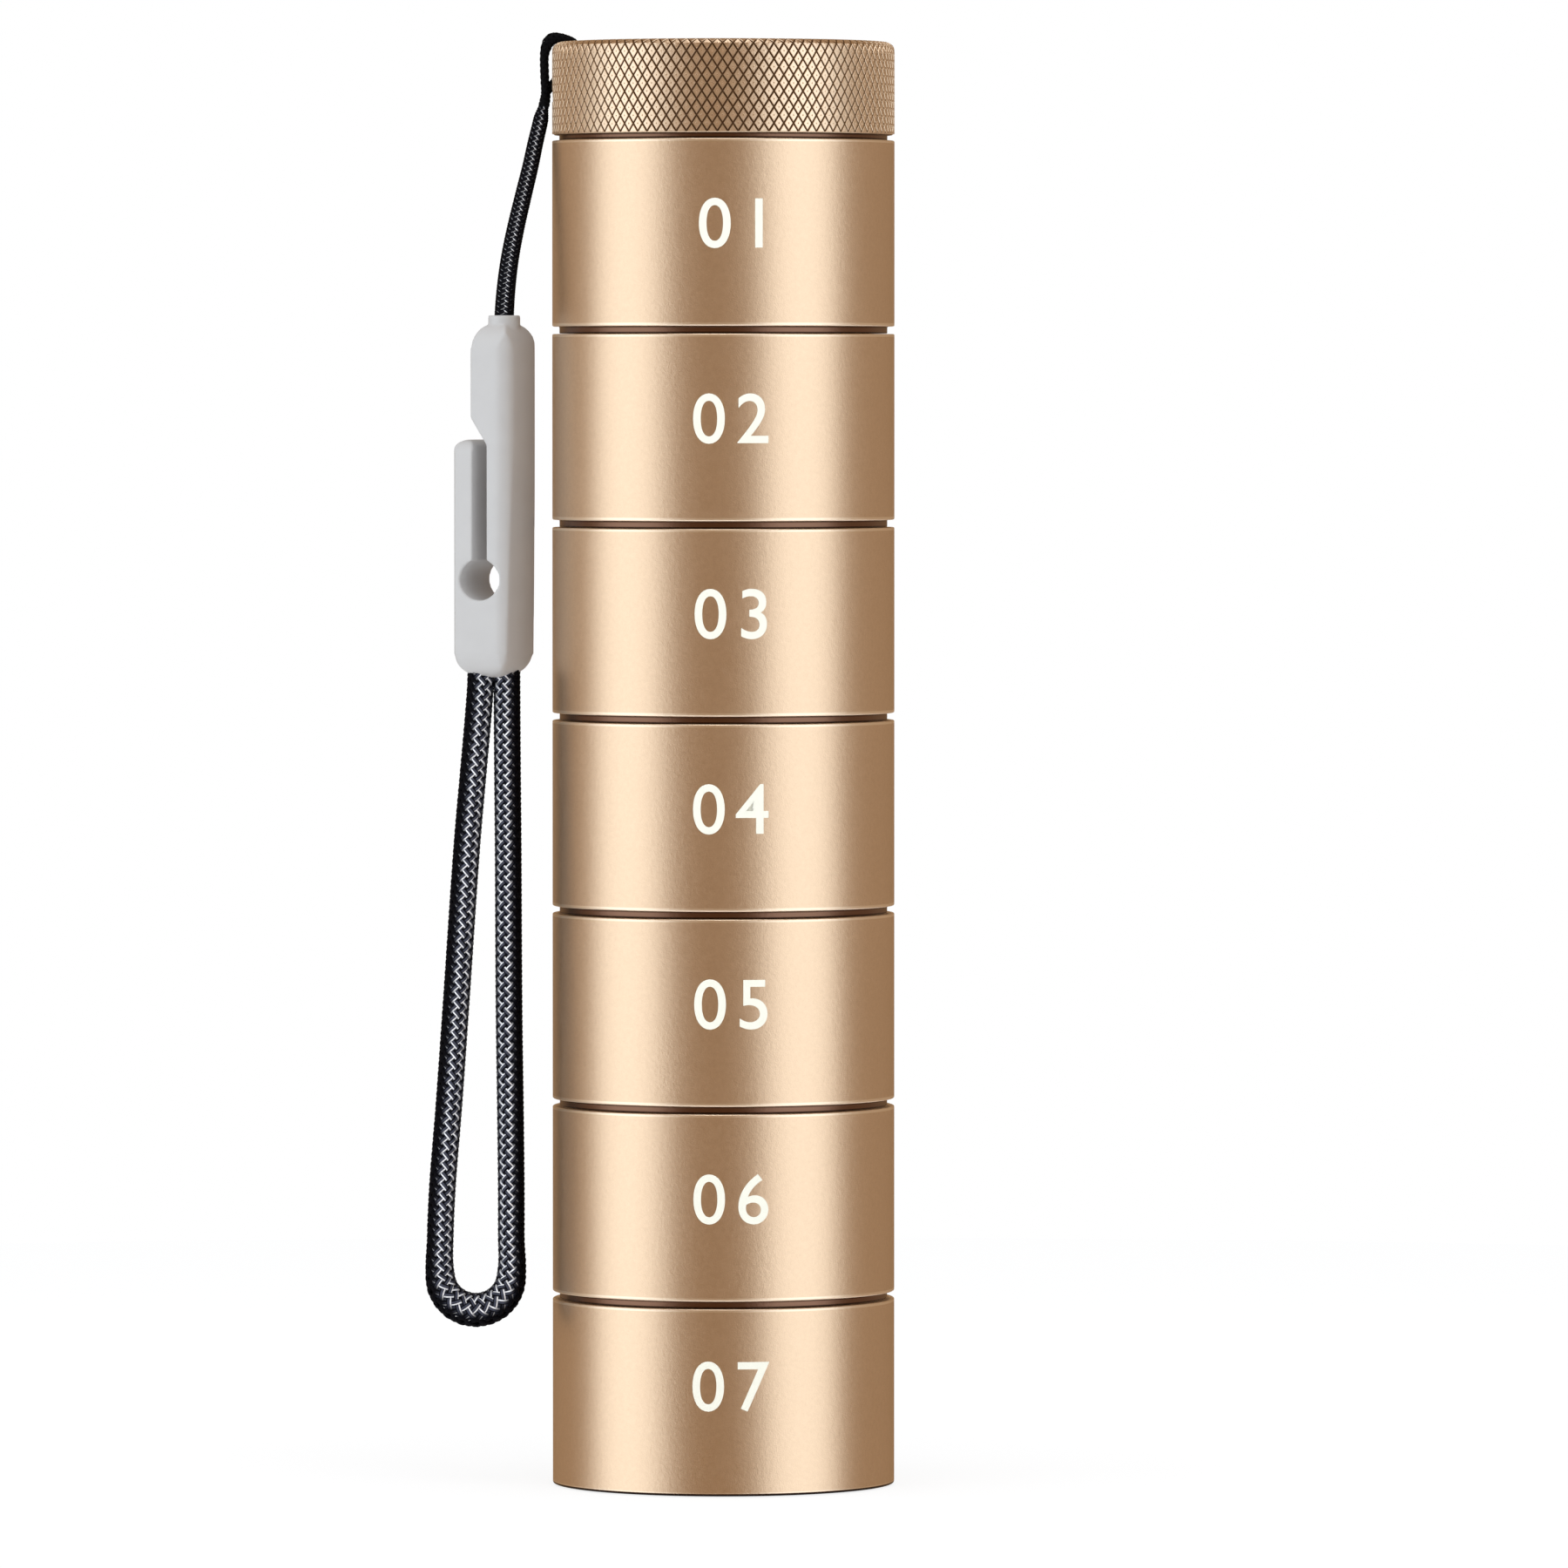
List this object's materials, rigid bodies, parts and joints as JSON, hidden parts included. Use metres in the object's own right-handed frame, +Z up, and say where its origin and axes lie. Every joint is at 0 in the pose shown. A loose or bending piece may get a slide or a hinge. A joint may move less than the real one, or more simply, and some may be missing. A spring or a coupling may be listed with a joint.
{
  "type": "pill organizer",
  "caption": "Slim round stack of screw-together metal pill compartments under a knurled screw cap, with sealing rings at the joints and a braided wrist lanyard with a moulded clip.",
  "frame": {"origin": "centre of the flat base that the stack stands on", "axes": "+Z up along the stack's axis, -Y towards the day numbers, -X towards the lanyard"},
  "size_m": [0.0438, 0.032, 0.1361],
  "materials": {
    "champagne_aluminium": "satin anodised champagne gold, fine bead-blast grain",
    "seal_rubber": "matt black",
    "black_string": "twisted black string",
    "braided_cord": "navy-black braid with grey and white flecks",
    "grey_plastic": "light grey moulding"
  },
  "bodies": {
    "compartment_7": {"compartment_7": "champagne_aluminium"},
    "seal_ring_7": {"seal_ring_7": "seal_rubber"},
    "compartment_6": {"compartment_6": "champagne_aluminium"},
    "seal_ring_6": {"seal_ring_6": "seal_rubber"},
    "compartment_5": {"compartment_5": "champagne_aluminium"},
    "seal_ring_5": {"seal_ring_5": "seal_rubber"},
    "compartment_4": {"compartment_4": "champagne_aluminium"},
    "seal_ring_4": {"seal_ring_4": "seal_rubber"},
    "compartment_3": {"compartment_3": "champagne_aluminium"},
    "seal_ring_3": {"seal_ring_3": "seal_rubber"},
    "compartment_2": {"compartment_2": "champagne_aluminium"},
    "seal_ring_2": {"seal_ring_2": "seal_rubber"},
    "compartment_1": {"compartment_1": "champagne_aluminium"},
    "seal_ring_1": {"seal_ring_1": "seal_rubber"},
    "cap": {"knurled_cap": "champagne_aluminium", "lanyard_string": "black_string"},
    "lanyard": {"lanyard_head": "black_string", "lanyard_cord": "braided_cord", "lanyard_clip": "grey_plastic", "wrist_loop": "braided_cord"}
  },
  "joints": [
    {"name": "compartment_6_twist", "type": "hinge", "parent": "compartment_7", "child": "seal_ring_7", "pos_m": [0, 0, 0.01735], "axis": [0, 0, 1], "range_deg": [0, 1080]},
    {"name": "compartment_6_lift", "type": "slide", "parent": "seal_ring_7", "child": "compartment_6", "axis": [0, 0, 1], "range_m": [0, 0.0045]},
    {"name": "compartment_5_twist", "type": "hinge", "parent": "compartment_6", "child": "seal_ring_6", "pos_m": [0, 0, 0.0354], "axis": [0, 0, 1], "range_deg": [0, 1080]},
    {"name": "compartment_5_lift", "type": "slide", "parent": "seal_ring_6", "child": "compartment_5", "axis": [0, 0, 1], "range_m": [0, 0.0045]},
    {"name": "compartment_4_twist", "type": "hinge", "parent": "compartment_5", "child": "seal_ring_5", "pos_m": [0, 0, 0.05345], "axis": [0, 0, 1], "range_deg": [0, 1080]},
    {"name": "compartment_4_lift", "type": "slide", "parent": "seal_ring_5", "child": "compartment_4", "axis": [0, 0, 1], "range_m": [0, 0.0045]},
    {"name": "compartment_3_twist", "type": "hinge", "parent": "compartment_4", "child": "seal_ring_4", "pos_m": [0, 0, 0.0715], "axis": [0, 0, 1], "range_deg": [0, 1080]},
    {"name": "compartment_3_lift", "type": "slide", "parent": "seal_ring_4", "child": "compartment_3", "axis": [0, 0, 1], "range_m": [0, 0.0045]},
    {"name": "compartment_2_twist", "type": "hinge", "parent": "compartment_3", "child": "seal_ring_3", "pos_m": [0, 0, 0.08955], "axis": [0, 0, 1], "range_deg": [0, 1080]},
    {"name": "compartment_2_lift", "type": "slide", "parent": "seal_ring_3", "child": "compartment_2", "axis": [0, 0, 1], "range_m": [0, 0.0045]},
    {"name": "compartment_1_twist", "type": "hinge", "parent": "compartment_2", "child": "seal_ring_2", "pos_m": [0, 0, 0.1076], "axis": [0, 0, 1], "range_deg": [0, 1080]},
    {"name": "compartment_1_lift", "type": "slide", "parent": "seal_ring_2", "child": "compartment_1", "axis": [0, 0, 1], "range_m": [0, 0.0045]},
    {"name": "cap_twist", "type": "hinge", "parent": "compartment_1", "child": "seal_ring_1", "pos_m": [0, 0, 0.12565], "axis": [0, 0, 1], "range_deg": [0, 1080]},
    {"name": "cap_lift", "type": "slide", "parent": "seal_ring_1", "child": "cap", "axis": [0, 0, 1], "range_m": [0, 0.0045]},
    {"name": "lanyard_swing", "type": "hinge", "parent": "cap", "child": "lanyard", "pos_m": [-0.0166, 0, 0.12975], "axis": [0, 1, 0], "range_deg": [0, 90]}
  ],
  "couplings": [
    {"joint": "compartment_6_twist", "follows": "compartment_6_lift", "rad_per_m": 4188.8},
    {"joint": "compartment_5_twist", "follows": "compartment_5_lift", "rad_per_m": 4188.8},
    {"joint": "compartment_4_twist", "follows": "compartment_4_lift", "rad_per_m": 4188.8},
    {"joint": "compartment_3_twist", "follows": "compartment_3_lift", "rad_per_m": 4188.8},
    {"joint": "compartment_2_twist", "follows": "compartment_2_lift", "rad_per_m": 4188.8},
    {"joint": "compartment_1_twist", "follows": "compartment_1_lift", "rad_per_m": 4188.8},
    {"joint": "cap_twist", "follows": "cap_lift", "rad_per_m": 4188.8}
  ]
}
